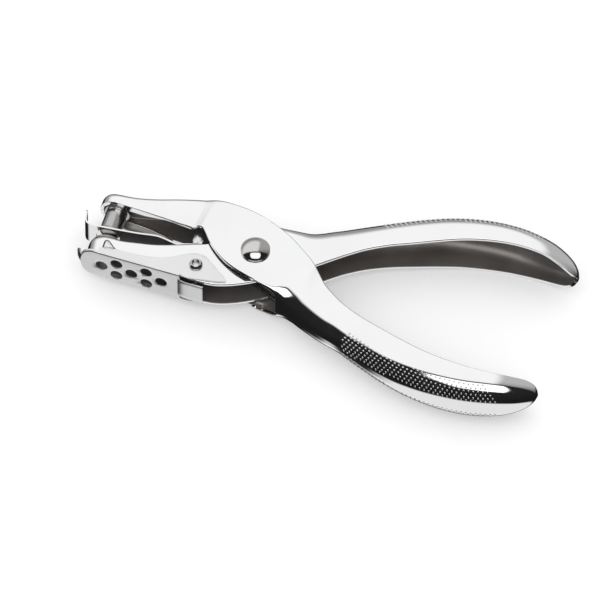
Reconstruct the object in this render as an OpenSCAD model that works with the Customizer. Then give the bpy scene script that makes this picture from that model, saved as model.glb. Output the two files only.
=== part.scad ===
// Single-hole hand punch, lying on its side with the pivot axis upright.
// Millimetres. +X runs from the jaws to the handles, +Z up along the pivot axis.
// The origin is on the pivot axis, in the plane the tool rests on.

/* [Levers] */
// Thickness of the pressed lever sheet
sheet_t = 1.0; // [0.8:0.05:1.3]
// Outer width of the die lever at its jaw and pivot
lever_w = 10; // [8.5:0.1:12]
// Gap between the die lever and each cheek of the punch lever
cheek_gap = 0.8; // [0.7:0.05:1.2]
// Pivot to the tip of a handle, along the tool
handle_len = 88.6; // [74:0.2:107]
// Greatest width of a handle
handle_w = 15.4; // [14.2:0.1:18.5]
// Pivot to the nose of a jaw
jaw_len = 47.3; // [44:0.1:57]

/* [Mechanism] */
// Angle between the jaws when the tool is let go
open_angle = 8; // [6.5:0.1:9.6]
// Tilt of the die jaw to the tool's axis
die_tilt = 8; // [6.5:0.1:9.6]
// Nose of the jaw to the middle of the punched hole
hole_back = 4.9; // [4.9:0.1:6.5]
// Diameter of the punched hole
pin_d = 6.0; // [5:0.1:7.2]
// Radial clearance of the pin in its die
pin_gap = 0.1; // [0.05:0.01:0.2]
// Radial clearance of every running fit and riveted hole
fit_gap = 0.05; // [0.02:0.01:0.1]
// Diameter of the pivot rivet's shank
rivet_d = 4.0; // [3.3:0.1:4.8]
// Diameter of the spring's wire
wire_d = 1.1; // [0.9:0.05:1.3]

/* [Stripper plate] */
// Thickness of the stripper plate
strip_t = 0.5; // [0.4:0.05:0.6]
// Rim left at each side of the pin's hole
strip_rim = 0.6; // [0.4:0.1:0.9]
// Height of the paper slot under it
slot_h = 2.1; // [1.7:0.1:2.4]

/* [Chip catcher] */
// Thickness of the catcher's sheet
catcher_t = 0.4; // [0.3:0.05:0.5]
// Slope of the catcher's floor to the die plane
floor_slope = 10.6; // [9:0.1:12]
// Diameter of a peep hole
peep_d = 3.5; // [2.9:0.1:4.2]
// Distance between neighbouring peep holes
peep_pitch = 5.1; // [4.5:0.1:5.6]

/* [Hidden] */
$fn = 48;
tall = 120;
head_t = 0.9;
body_gap = 0.3;
side_gap = 0.1;
half_w = lever_w / 2;
reach = jaw_len - hole_back;
cheek_in = half_w + cheek_gap;
cheek_out = cheek_in + sheet_t;
handle_half = handle_w / 2;
rest_half = max(handle_half, cheek_out + head_t);
rear_head_t = rest_half - cheek_out;
mid_z = rest_half;
jaw_scale = jaw_len / 47.3;
handle_scale = (handle_len - 20) / 68.6;
die_top = 0.6;
die_web = -0.4;
pin_tip = die_top - 1.5;
sleeve_d = rivet_d + 1.0;

// ---- frames and outline helpers ----

// The die lever and all that is fixed to it, or hinged on it.
module die_frame() {
  translate([0, 0, mid_z])
    rotate([0, 0, die_tilt])
      children();
}

// The punch lever, drawn with the jaws shut and then opened about the pivot.
module punch_frame() {
  translate([0, 0, mid_z])
    rotate([0, 0, die_tilt - open_angle])
      children();
}

// Draws its child on the far side of the mid-plane too.
module both_sides() {
  children();
  mirror([0, 0, 1]) children();
}

// A side outline given depth across the tool.
module side_slab(points, width) {
  linear_extrude(height = width, center = true) polygon(points);
}

// A plan outline, seen along Y, given depth through the tool.
module plan_slab(points) {
  rotate([90, 0, 0])
    linear_extrude(height = tall, center = true)
      polygon(points);
}

function turn(p, a) = [p[0] * cos(a) - p[1] * sin(a), p[0] * sin(a) + p[1] * cos(a)];
function turn_all(pts, a) = [for (p = pts) turn(p, a)];
function flip(pts) = [for (p = pts) [p[0], -p[1]]];
function back(pts) = [for (i = [len(pts) - 1:-1:0]) pts[i]];
function lift(pts, d) = [for (p = pts) [p[0], p[1] + d]];

// A smooth line through the points after the first and before the last.
function on_curve(a, b, c, d, t) =
  0.5 * (2 * b + (c - a) * t + (2 * a - 5 * b + 4 * c - d) * t * t
    + (3 * b - a - 3 * c + d) * t * t * t);
function curve(p, steps) = [
  for (i = [0:len(p) - 2])
    for (s = [0:steps - 1])
      on_curve(p[max(i - 1, 0)], p[i], p[i + 1], p[min(i + 2, len(p) - 1)], s / steps),
  p[len(p) - 1]
];

// A line moved sideways by d, to the right of its direction.
function along(p, i) = p[min(i + 1, len(p) - 1)] - p[max(i - 1, 0)];
function beside(p, d) = [
  for (i = [0:len(p) - 1])
    let (v = along(p, i) / norm(along(p, i)))
      p[i] + d * [v[1], -v[0]]
];

// Stretches the handle beyond the neck, and the jaw before the throat.
function hx(x) = x <= 20 ? x : 20 + (x - 20) * handle_scale;
function jx(x) = x * jaw_scale;
function handle_pts(pts) = [for (p = pts) [hx(p[0]), p[1]]];
function jaw_pts(pts) = [for (p = pts) [jx(p[0]), p[1]]];

// ---- shared handle shape: the upper one, in the tool's own axes ----

handle_web = handle_pts([
  [13, 13.2], [18, 15.6], [24, 18.5], [32.5, 22.4], [41, 26], [49, 28.7],
  [57, 30.3], [65, 30.8], [73, 30.1], [80, 28.3], [85, 25.8], [87.9, 22.8], [88.6, 20.4]
]);
handle_edge = handle_pts([
  [88.4, 19.8], [86, 19.6], [82, 20.8], [76, 22], [69, 22.2], [62, 21.5], [54, 19.8],
  [44, 16.4], [34, 12.6], [27, 8.8], [21, 4.2]
]);
handle_half_w = handle_pts([
  [28, half_w + 0.35], [34, half_w + 0.8], [44, half_w + 1.3],
  [52, handle_half - 0.8], [60, handle_half - 0.2], [66, handle_half], [72, handle_half],
  [77, handle_half - 0.35], [81, handle_half - 1.1], [84.5, handle_half - 2.4],
  [87, handle_half - 4.1], [88.2, 2], [88.6, 0]
]);
nose_half_w = [
  [-jaw_len, 0], [-jaw_len + 0.5, half_w - 2.4], [-jaw_len + 1.7, half_w - 0.6],
  [-jaw_len + 3.4, half_w]
];

// A line set in by d, without the points that would cross over themselves in a tight bend.
function inset(p, d) = [
  for (q = beside(p, d))
    if (min([for (s = p) norm(q - s)]) > 0.98 * d) q
];

// A half-width line and its mirror image, with the points on the axis used once.
function both_halves(p) = concat(p, flip([for (q = back(p)) if (q[1] > 0.01) q]));
// A half-width line kept within the handle's greatest width.
function capped(p) = [for (q = p) [q[0], min(q[1], max(handle_half, cheek_out))]];
// The same line set in by the sheet, stopped short of the axis and never turning back.
function inset_half(p) = onward([for (q = inset(p, sheet_t)) if (q[1] > 0.2) q]);
function onward(p) = [
  for (i = [0:len(p) - 1])
    if (i == 0 || p[i][0] > max([for (j = [0:i - 1]) p[j][0]]) + 0.05) p[i]
];

// ---- die lever: one channel, its web above, the jaw and handle in one piece ----

function floor_y(x) = -5.84 - (x + jaw_len) * tan(floor_slope);
web_slope = atan2(1.5, 8);
jaw_top_end = [jx(-14), 2.16];
jaw_top_start = [jx(-23), jaw_top_end[1] + (jx(-23) - jx(-14)) * tan(web_slope)];

die_web_line = concat(
  [[-jaw_len, floor_y(-jaw_len) + catcher_t + body_gap]],
  curve([
    [-jaw_len, -2.2], [-jaw_len + 0.3, -1.3], [-jaw_len + 1.2, die_web - 0.15],
    [-jaw_len + 3, die_web], [jx(-36), die_web], [jx(-29), die_web + 0.05], jaw_top_start
  ], 3),
  [jaw_top_end],
  curve(concat([[-10.5, 4.6], [-6, 8], [0, 10.4]], turn_all([[7, 12.1]], -die_tilt),
    turn_all(handle_web, -die_tilt)), 3)
);
die_edge_line = concat(
  curve(turn_all(handle_edge, -die_tilt), 3),
  curve(concat(turn_all([[17, 0.9]], -die_tilt),
    [[9.5, -5.2], [3, -8.5], [-3.5, -10.9], [-9, -12], [-13, -11.9], [-16.5, -11.4]]), 3),
  [[jx(-19.4), floor_y(jx(-19.4)) + 0.35], [jx(-19.9), floor_y(jx(-19.9)) + catcher_t + body_gap]]
);
die_jaw_plan = both_halves(concat(curve(nose_half_w, 5), [[2, half_w]]));
die_handle_line = capped(curve(concat([[15, half_w], [21, half_w]], handle_half_w), 4));
die_handle_plan = both_halves(concat([[-2, half_w]], die_handle_line));
die_jaw_hollow = both_halves(concat(inset_half(curve(nose_half_w, 5)),
  [[2, half_w - sheet_t]]));
die_handle_hollow = both_halves(concat([[-2, half_w - sheet_t]], inset_half(die_handle_line)));

module die_plan() {
  plan_slab(die_jaw_plan);
  rotate([0, 0, -die_tilt]) plan_slab(die_handle_plan);
}

module die_hollow() {
  plan_slab(die_jaw_hollow);
  rotate([0, 0, -die_tilt]) plan_slab(die_handle_hollow);
}

module die_lever() {
  color("Silver")
    die_frame()
      difference() {
        intersection() {
          side_slab(concat(die_web_line, die_edge_line), handle_w + 1);
          die_plan();
        }
        intersection() {
          side_slab(concat([[-jaw_len + sheet_t, -20]], inset(die_web_line, sheet_t),
            lift(die_edge_line, -6)), handle_w + 2);
          die_hollow();
        }
        // the web is cut away between the jaw and the handle, over the pivot
        translate([-7.2, 6.5, 0]) cube([13, 9, lever_w - 2 * sheet_t], center = true);
        cylinder(d = sleeve_d + 2 * fit_gap, h = tall, center = true);
        eyelet_at() cylinder(d = eyelet_d + 2 * fit_gap, h = tall, center = true);
        die_axis() cylinder(d = bush_spigot_d + 2 * fit_gap, h = 8, center = true);
        rivet_row() cylinder(d = small_rivet_d + 2 * fit_gap, h = 6, center = true);
      }
}

// ---- die bush, standing a little above the jaw ----

bush_d = min(pin_d + 2.4, lever_w - 1.2);
bush_spigot_d = min(pin_d + 1.2, lever_w - 2 * sheet_t - body_gap);

module die_axis() {
  translate([-reach, 0, 0]) rotate([-90, 0, 0]) children();
}

module die_bush() {
  color("DimGray")
    die_frame()
      die_axis()
        difference() {
          union() {
            translate([0, 0, die_web + 0.02])
              cylinder(d = bush_d, h = die_top - die_web - 0.32);
            translate([0, 0, die_top - 0.3])
              cylinder(d1 = bush_d, d2 = bush_d - 0.6, h = 0.3);
            translate([0, 0, die_web - sheet_t - 0.6])
              cylinder(d = bush_spigot_d, h = sheet_t + 1);
          }
          cylinder(d = pin_d + 2 * pin_gap, h = 20, center = true);
        }
}

// ---- stripper plate: lip, flat over the die, step down and a curled rear end ----

strip_y = die_top + slot_h + strip_t / 2;
strip_hole_d = pin_d + 0.8;
strip_w = strip_hole_d + 2 * strip_rim;
curl_w = lever_w - 2 * sheet_t - 0.8;
curl_r = 1.2;
curl_x = jx(-16.8);
function jaw_top_y(x) = jaw_top_end[1] + (x - jaw_top_end[0]) * tan(web_slope);
strip_seat = (strip_t / 2 + side_gap) / cos(web_slope);
strip_line = concat(
  curve([
    [-jaw_len - 2.0, strip_y + 6.6], [-jaw_len - 1.75, strip_y + 3],
    [-jaw_len - 1.1, strip_y + 1.0], [-jaw_len + 0.5, strip_y]
  ], 4),
  curve([
    [jx(-29.5), strip_y], [jx(-27.5), strip_y - 0.25],
    [jx(-24), jaw_top_y(jx(-24)) + strip_seat + 0.3],
    [jx(-22), jaw_top_y(jx(-22)) + strip_seat]
  ], 3),
  [[curl_x, jaw_top_y(curl_x) + strip_seat]]
);

module curl_axis() {
  translate([curl_x, jaw_top_y(curl_x) + strip_seat, 0])
    rotate([0, 0, web_slope])
      translate([0, curl_r, 0])
        children();
}

module stripper_plate() {
  color("Gainsboro")
    die_frame()
      difference() {
        union() {
          side_slab(concat(beside(strip_line, strip_t / 2), back(beside(strip_line, -strip_t / 2))),
            strip_w);
          curl_axis() cylinder(r = curl_r + strip_t / 2, h = curl_w, center = true);
        }
        curl_axis() cylinder(r = curl_r - strip_t / 2, h = tall, center = true);
        die_axis() cylinder(d = strip_hole_d, h = 8);
        rivet_row() cylinder(d = small_rivet_d + 2 * fit_gap, h = 6, center = true);
      }
}

// ---- two small rivets that hold the stripper plate ----

small_rivet_d = 1.4;
small_head_d = 2.2;
small_head_t = 0.4;

module rivet_row() {
  for (side = [-1, 1])
    translate([jx(-20.4), jaw_top_y(jx(-20.4)), side * 1.9])
      rotate([0, 0, web_slope])
        rotate([-90, 0, 0])
          children();
}

module stripper_rivets() {
  color("Silver")
    die_frame()
      rivet_row() {
        translate([0, 0, -sheet_t - small_head_t - fit_gap])
          cylinder(d = small_head_d, h = small_head_t);
        translate([0, 0, -sheet_t - small_head_t])
          cylinder(d = small_rivet_d, h = sheet_t + strip_t + 2 * small_head_t);
        translate([0, 0, strip_t + side_gap + fit_gap])
          cylinder(d1 = small_head_d, d2 = small_head_d - 0.5, h = small_head_t);
      }
}

// ---- chip catcher: perforated floor, two side flanges, a thumb tab ----

flange_in = half_w + side_gap;
flange_out = flange_in + catcher_t;
wide_end = jx(-19.9);
tongue_end = -13;
tongue_half = half_w - sheet_t - body_gap;
eyelet_x = -15.9;
eyelet_y = -6.6;
eyelet_d = 3.0;

module eyelet_at() {
  translate([eyelet_x, eyelet_y, 0]) children();
}

flange_line = concat(
  [[-jaw_len + 3.7, floor_y(-jaw_len + 3.7)], [-jaw_len + 3.7, -4.6]],
  [[-jaw_len + 4.7, -4.2], [-jaw_len + 6.1, -2.1], [-jaw_len + 6.8, -2.1], [-jaw_len + 8.9, -4.4]],
  curve([
    [jx(-34.7), -5.3], [jx(-29.5), -5.7], [jx(-25), -5.4], [-21.5, -4.3], [-18, -2.9],
    [-15.9, -2.55], [-13.6, -3.2], [-11, -6], [-8, -9], [-6.8, -10.2], [-7.2, -11.2], [-8.5, -11.5]
  ], 3),
  [[-13, -11.45], [wide_end, floor_y(wide_end)]]
);
floor_plan = both_halves(concat(
  curve([[-jaw_len - 1.6, 0], [-jaw_len - 1.2, flange_out - 2.8],
    [-jaw_len - 0.2, flange_out - 1.0], [-jaw_len + 1.6, flange_out]], 5),
  [[wide_end, flange_out], [wide_end, tongue_half], [tongue_end, tongue_half]]
));

module floor_frame() {
  translate([-jaw_len, floor_y(-jaw_len), 0]) rotate([0, 0, -floor_slope]) children();
}

module catcher_floor() {
  intersection() {
    plan_slab(floor_plan);
    floor_frame()
      translate([-3, 0, -flange_out])
        cube([jaw_len, catcher_t, 2 * flange_out]);
  }
}

// Seven holes: columns of one and two in turn.
module peep_holes() {
  floor_frame()
    for (column = [0:4])
      for (row = column % 2 == 0 ? [0] : [-0.5, 0.5])
        translate([4.75 + column * peep_pitch * sin(60), 0, row * peep_pitch])
          rotate([90, 0, 0])
            cylinder(d = peep_d, h = 4, center = true);
}

tab_line = [[-jaw_len - 1.3, -5.6], [-jaw_len - 1.6, -4.6], [-jaw_len - 2.2, -2.6],
  [-jaw_len - 2.7, -1.2]];
tab_width = 4.6;

module thumb_tab() {
  intersection() {
    side_slab(concat(beside(curve(tab_line, 3), catcher_t), back(curve(tab_line, 3))), tab_width);
    translate([-jaw_len, -4.9, 0]) rotate([0, 90, 0]) cylinder(d = 8, h = 20, center = true);
  }
}

module chip_catcher() {
  color("LightGray")
    die_frame()
      difference() {
        union() {
          catcher_floor();
          thumb_tab();
          both_sides()
            translate([0, 0, flange_in])
              linear_extrude(height = catcher_t)
                polygon(flange_line);
        }
        peep_holes();
        eyelet_at() cylinder(d = eyelet_d + 2 * fit_gap, h = tall, center = true);
      }
}

// ---- two hollow eyelets the catcher swings on ----

eyelet_head_d = 3.8;
eyelet_bore = 1.7;

module catcher_eyelets() {
  color("Silver")
    die_frame()
      eyelet_at()
        both_sides()
          difference() {
            union() {
              translate([0, 0, half_w - sheet_t - 0.45])
                cylinder(d = eyelet_head_d, h = 0.4);
              translate([0, 0, half_w - sheet_t - 0.2])
                cylinder(d = eyelet_d, h = flange_out - half_w + sheet_t + 0.6);
              translate([0, 0, flange_out + fit_gap])
                cylinder(d = eyelet_head_d, h = 0.7);
            }
            translate([0, 0, half_w - sheet_t - 1]) cylinder(d = eyelet_bore, h = 6);
          }
}

// ---- pivot: rivet, sleeve and two spacing washers ----

rivet_head_d = 2 * rivet_d + 0.3;
dome_h = 1.9;
dome_rim = 0.5;
dome_r = (pow(rivet_head_d / 2, 2) + dome_h * dome_h) / (2 * dome_h);
washer_d = sleeve_d + 4;

module pivot_rivet() {
  color("Silver")
    translate([0, 0, mid_z]) {
      translate([0, 0, -cheek_out - rear_head_t])
        cylinder(d = rivet_head_d, h = rear_head_t - fit_gap);
      translate([0, 0, -cheek_out - 0.5 * rear_head_t])
        cylinder(d = rivet_d, h = 2 * cheek_out + rear_head_t);
      translate([0, 0, cheek_out + fit_gap])
        cylinder(d = rivet_head_d, h = dome_rim);
      intersection() {
        translate([0, 0, cheek_out + fit_gap + dome_rim + dome_h - dome_r]) sphere(r = dome_r);
        translate([0, 0, cheek_out + fit_gap + dome_rim]) cylinder(d = rivet_head_d, h = 5);
      }
    }
}

module pivot_sleeve() {
  color("Gray")
    translate([0, 0, mid_z])
      difference() {
        cylinder(d = sleeve_d, h = 2 * (cheek_in - fit_gap), center = true);
        cylinder(d = rivet_d + 2 * fit_gap, h = tall, center = true);
      }
}

module pivot_washer() {
  translate([0, 0, half_w + fit_gap / 2])
    difference() {
      cylinder(d = washer_d, h = cheek_gap - 1.5 * fit_gap);
      cylinder(d = sleeve_d + 2 * fit_gap, h = 10, center = true);
    }
}

module front_pivot_washer() {
  color("Gray") translate([0, 0, mid_z]) pivot_washer();
}

module rear_pivot_washer() {
  color("Gray") translate([0, 0, mid_z]) mirror([0, 0, 1]) pivot_washer();
}

// ---- return spring: close-wound coil round the sleeve, a leg in each handle ----

coil_r = sleeve_d / 2 + wire_d / 2 + 0.35;
coil_half = half_w - sheet_t - wire_d / 2 - body_gap;
coil_turns = ceil(2 * coil_half / (0.96 * wire_d)) + 1;
coil_pitch = 2 * coil_half / (coil_turns - 1);
leg_end_x = 21.5;
web_at_leg = 17.32;
leg_end_y = web_at_leg - 1.1 * sheet_t - 0.5 * wire_d - body_gap;

// A leg that leaves the coil on its outer side and ends under a handle's web.
module spring_leg() {
  far = norm([leg_end_x, leg_end_y]);
  bearing = atan2(leg_end_y, leg_end_x);
  leave = bearing + acos(coil_r / far);
  rotate([0, 0, leave])
    translate([coil_r, 0, 0])
      rotate([90, 0, 0])
        cylinder(d = wire_d, h = sqrt(far * far - coil_r * coil_r));
}

module return_spring() {
  color("DarkGray")
    translate([0, 0, mid_z]) {
      for (i = [0:coil_turns - 1])
        translate([0, 0, -coil_half + i * coil_pitch])
          rotate_extrude($fn = 36) translate([coil_r, 0]) circle(d = wire_d, $fn = 16);
      translate([0, 0, coil_half]) spring_leg();
      translate([0, 0, -coil_half]) mirror([0, 1, 0]) spring_leg();
    }
}

// ---- punch lever: jaw with its web above, two cheeks, handle with its web below ----

jaw_web_end = -2;
handle_web_start = 10.5;

punch_jaw_web = curve(concat(
  [[-jaw_len, 5.95], [-jaw_len, 7.4], [-jaw_len + 0.6, 8.6], [-jaw_len + 2, 9.2]],
  jaw_pts([[-41, 9.5], [-37, 9.85], [-32.3, 10.9], [-25.6, 12.9], [-20, 14.2]]),
  [[-15.5, 14.4], [-10, 13.9], [-5, 13.2], [jaw_web_end, 12.3]]
), 3);
punch_cheek_top = curve([
  [1, 11.1], [4, 9.8], [8.4, 7.4], [11.7, 5.1], [15.2, 2.3], [18.6, -1]
], 3);
punch_handle_edge = curve(back(flip(handle_edge)), 3);
punch_handle_web = curve(concat(back(flip(handle_web)), [[handle_web_start, -12.5]]), 3);
punch_cheek_under = curve([
  [6, -11], [1, -9.4], [-4, -7.6], [-7.2, -5.95], [-10.6, -3.3], [-14.2, 0.4],
  [-16, 3.1], [-17.9, 4.35], [-19.8, 3.6]
], 3);
punch_jaw_under = concat(jaw_pts([[-24.8, 4.4], [-32.3, 5.1], [-41.3, 5.85]]),
  [[-jaw_len + 1, 5.95]]);

punch_plan_line = capped(concat(
  curve(nose_half_w, 5),
  curve([[-20.2, half_w], [-19, half_w + 0.3], [-16.6, cheek_out - 0.3], [-15.2, cheek_out]], 4),
  curve(concat([[12, cheek_out], [17, cheek_out - 0.15], [20, cheek_out - 0.55],
    [24, (cheek_out + half_w) / 2 - 0.3]], handle_half_w), 4)
));

module punch_lever() {
  color("Silver")
    punch_frame()
      difference() {
        intersection() {
          side_slab(concat(punch_jaw_web, punch_cheek_top, punch_handle_edge, punch_handle_web,
            punch_cheek_under, punch_jaw_under), handle_w + 1);
          plan_slab(both_halves(punch_plan_line));
        }
        intersection() {
          side_slab(concat(
            inset(punch_jaw_web, sheet_t),
            [[jaw_web_end, 30]],
            lift(punch_cheek_top, 20),
            lift(punch_handle_edge, 4),
            inset(punch_handle_web, sheet_t),
            [[handle_web_start, -30]],
            lift(punch_cheek_under, -20),
            lift(punch_jaw_under, -20)
          ), handle_w + 2);
          plan_slab(both_halves(inset_half(punch_plan_line)));
        }
        cylinder(d = rivet_d + 2 * fit_gap, h = tall, center = true);
        translate([-reach, 9, 0])
          rotate([90, 0, 0])
            cylinder(d = tenon_d + 2 * fit_gap, h = 4, center = true);
      }
}

// ---- punch pin and the collar it is peened through ----

tenon_d = pin_d - 2;
collar_d = min(pin_d + 1.9, lever_w - 2 * sheet_t - 0.2, 2 * (hole_back - sheet_t) - 0.3);
collar_low = 5.85;
collar_top = 8.9 - sheet_t;
collar_edge = 0.5;

module punch_pin() {
  color("DarkGray")
    punch_frame()
      translate([-reach, 0, 0])
        rotate([-90, 0, 0]) {
          translate([0, 0, pin_tip]) cylinder(d = pin_d, h = collar_low - 0.02 - pin_tip);
          translate([0, 0, collar_low - 0.5]) cylinder(d = tenon_d, h = 9.6 - collar_low + 0.5);
        }
}

module punch_collar() {
  color("DimGray")
    punch_frame()
      translate([-reach, collar_low, 0])
        rotate([-90, 0, 0])
          difference() {
            union() {
              cylinder(d = collar_d, h = collar_top - collar_low - collar_edge);
              translate([0, 0, collar_top - collar_low - collar_edge])
                cylinder(d1 = collar_d, d2 = collar_d - 3 * collar_edge, h = collar_edge);
            }
            cylinder(d = tenon_d + 2 * fit_gap, h = 10, center = true);
          }
}

die_lever();
die_bush();
stripper_plate();
stripper_rivets();
catcher_eyelets();
pivot_rivet();
pivot_sleeve();
front_pivot_washer();
rear_pivot_washer();
return_spring();
punch_lever();
punch_pin();
punch_collar();
chip_catcher();
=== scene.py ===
# %% [markdown]
# # A pressed-steel hand punch
# The object is a plier-style hole punch that lies on its side. Two levers are pressed from 1 mm sheet
# and bright plated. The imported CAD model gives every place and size, and this lesson gives it its looks:
# rounded sheet metal, knurled grips, a perforated chip catcher and turned steel parts.

# %% Load the frame
import bpy
import bmesh
import math
import numpy as np
from mathutils import Matrix, Vector


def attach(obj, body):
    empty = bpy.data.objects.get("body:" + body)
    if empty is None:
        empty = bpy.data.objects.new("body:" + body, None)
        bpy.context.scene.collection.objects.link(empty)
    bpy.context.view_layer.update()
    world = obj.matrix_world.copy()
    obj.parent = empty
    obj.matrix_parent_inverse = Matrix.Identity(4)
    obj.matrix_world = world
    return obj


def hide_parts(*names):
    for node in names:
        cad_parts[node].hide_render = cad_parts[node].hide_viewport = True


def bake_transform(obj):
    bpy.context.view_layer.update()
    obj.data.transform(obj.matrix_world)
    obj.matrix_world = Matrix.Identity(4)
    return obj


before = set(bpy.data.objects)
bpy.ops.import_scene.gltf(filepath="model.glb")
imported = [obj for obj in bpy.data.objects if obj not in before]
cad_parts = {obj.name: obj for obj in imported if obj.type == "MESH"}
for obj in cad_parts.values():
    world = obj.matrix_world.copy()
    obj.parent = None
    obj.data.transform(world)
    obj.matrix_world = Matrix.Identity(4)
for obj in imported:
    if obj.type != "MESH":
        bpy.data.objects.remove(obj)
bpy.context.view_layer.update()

# %% [markdown]
# ## Shared measures
# A maker works in millimetres and from a few datums. The pivot axis is upright through the origin, and the
# mid-plane of the tool is half its thickness above the table. The die side is turned 8 degrees about the
# pivot, because the jaws stand 8 degrees apart when the tool is let go.

# %% Datums
MM = 0.001
MID_Z = 7.7
DIE_TILT = math.radians(8)
SHEET = 1.0
REACH = 42.4
HINGE = (-14.827, -8.749)


def turned(point, angle=DIE_TILT):
    """A side-view point turned about the pivot."""
    x, y = point
    c, s = math.cos(angle), math.sin(angle)
    return (x * c - y * s, x * s + y * c)


def smooth_rows(rows, steps):
    """A smooth curve through rows of numbers: each column is one value that changes along the piece."""
    rows = np.array(rows, float)
    out = []
    for i in range(len(rows) - 1):
        a, b = rows[max(i - 1, 0)], rows[i]
        c, d = rows[i + 1], rows[min(i + 2, len(rows) - 1)]
        for s in range(steps):
            t = s / steps
            out.append(0.5 * (2 * b + (c - a) * t + (2 * a - 5 * b + 4 * c - d) * t ** 2
                              + (3 * b - a - 3 * c + d) * t ** 3))
    out.append(rows[-1])
    return np.array(out)


print("pin axis when let go (mm):", [round(c, 2) for c in turned((-REACH, 0))])


# %% [markdown]
# ## Meshes from code
# Every piece below starts as points and faces worked out in millimetres. Small helpers do the common work:
# make an object, merge its doubles, turn modifiers into plain mesh, add a wall or round edges, and cut or
# join pieces. Modelling by hand would do too, but code keeps each size beside the reason for it.

# %% Mesh helpers
def new_object(name, verts, faces, scale=MM):
    """A mesh object at the origin from points in millimetres."""
    mesh = bpy.data.meshes.new(name)
    mesh.from_pydata([tuple(float(c) * scale for c in v) for v in verts], [], faces)
    mesh.validate()
    obj = bpy.data.objects.new(name, mesh)
    bpy.context.scene.collection.objects.link(obj)
    return obj


def tidy_mesh(obj, merge=0.004, smooth=True):
    """Merges doubles, turns the faces outwards and shades the piece smooth."""
    bm = bmesh.new()
    bm.from_mesh(obj.data)
    bmesh.ops.remove_doubles(bm, verts=bm.verts, dist=merge * MM)
    bmesh.ops.dissolve_degenerate(bm, edges=bm.edges, dist=merge * MM * 0.5)
    bmesh.ops.delete(bm, geom=[v for v in bm.verts if bm.faces and not v.link_faces], context="VERTS")
    bmesh.ops.recalc_face_normals(bm, faces=bm.faces)
    for face in bm.faces:
        face.smooth = smooth
    bm.to_mesh(obj.data)
    bm.free()
    return obj


def baked(obj):
    """Turns a piece's modifiers into plain mesh."""
    bpy.context.view_layer.update()
    evaluated = obj.evaluated_get(bpy.context.evaluated_depsgraph_get())
    mesh = bpy.data.meshes.new_from_object(evaluated)
    old, name = obj.data, obj.data.name
    obj.modifiers.clear()
    obj.data = mesh
    bpy.data.meshes.remove(old)
    mesh.name = name
    return obj


def widened(obj, thickness, offset=0, even=False):
    """Adds a Solidify that gives a thin skin its thickness, in millimetres."""
    wall = obj.modifiers.new("wall", "SOLIDIFY")
    wall.thickness, wall.offset, wall.use_even_offset = thickness * MM, offset, even
    return wall


def softened(obj, width, angle=50, segments=2):
    """Adds a Bevel that rounds every edge sharper than an angle, in degrees."""
    edges = obj.modifiers.new("edges", "BEVEL")
    edges.width, edges.segments, edges.limit_method = width * MM, segments, "ANGLE"
    edges.angle_limit, edges.harden_normals = math.radians(angle), True
    return edges


def cut_away(obj, tool, solver="EXACT"):
    """Cuts one piece with another, and throws the other away."""
    cut = obj.modifiers.new("cut", "BOOLEAN")
    cut.object, cut.operation, cut.solver = tool, "DIFFERENCE", solver
    baked(obj)
    bpy.data.objects.remove(tool)
    return obj


def joined_to(obj, parts):
    """Joins loose parts to a piece."""
    with bpy.context.temp_override(active_object=obj, selected_editable_objects=[obj, *parts]):
        bpy.ops.object.join()
    return obj


# %% [markdown]
# ## Sheet metal
# A press shears the sheet against its die. The shear draws the outer edge round, which is called the die
# roll, and leaves the inner edge nearly sharp. Solidify gives the wall, and a Bevel with its own weight on
# each edge gives the two roundings. Where the mesh is too fine for the full roll, the weight is smaller.

# %% Wall and die roll
def sheet_metal(obj, thickness=SHEET, roll=0.42, inner=0.15, segments=4):
    """Gives an outer skin its wall, then rounds the cut edges: a deep die roll outside, little inside."""
    wall = obj.modifiers.new("wall", "SOLIDIFY")
    wall.thickness = thickness * MM
    wall.offset = -1
    wall.use_even_offset = True
    wall.use_quality_normals = True
    wall.material_offset = 1
    wall.material_offset_rim = 2
    baked(obj)
    bm = bmesh.new()
    bm.from_mesh(obj.data)
    weight = bm.edges.layers.float.new("bevel_weight_edge")
    sharp = {}
    for edge in bm.edges:
        if len(edge.link_faces) == 2:
            kinds = {face.material_index for face in edge.link_faces}
            if 2 in kinds and len(kinds) == 2 and edge.calc_face_angle(0) > math.radians(40):
                sharp[edge] = 1.0 if 0 in kinds else inner / roll
    for edge, share in sharp.items():
        sides = [e.calc_length() for v in edge.verts for e in v.link_edges if e not in sharp]
        room = min(sides) / MM if sides else 0
        edge[weight] = min(share, 0.8 * room / roll)
    for face in bm.faces:
        if face.material_index == 2:
            face.material_index = 0
    bm.to_mesh(obj.data)
    bm.free()
    edges = obj.modifiers.new("edges", "BEVEL")
    edges.width = roll * MM
    edges.segments = segments
    edges.limit_method = "WEIGHT"
    edges.use_clamp_overlap = False
    edges.harden_normals = True
    return obj


# %% [markdown]
# ## Bright nickel
# Plated pressings are mirror-like, but never perfect: the sheet keeps a faint waviness from the press, and
# handling leaves hair-fine scratches. A metallic shader with a low roughness gives the mirror. Noise at
# two scales drives a weak bump for the waviness, and stretched noise varies the roughness for the scratches.

# %% Material helpers
def nodes_of(material):
    """A fresh node tree with one Principled shader."""
    material.use_nodes = True
    tree = material.node_tree
    tree.nodes.clear()
    out = tree.nodes.new("ShaderNodeOutputMaterial")
    shader = tree.nodes.new("ShaderNodeBsdfPrincipled")
    tree.links.new(shader.outputs["BSDF"], out.inputs["Surface"])
    return tree, shader


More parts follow.
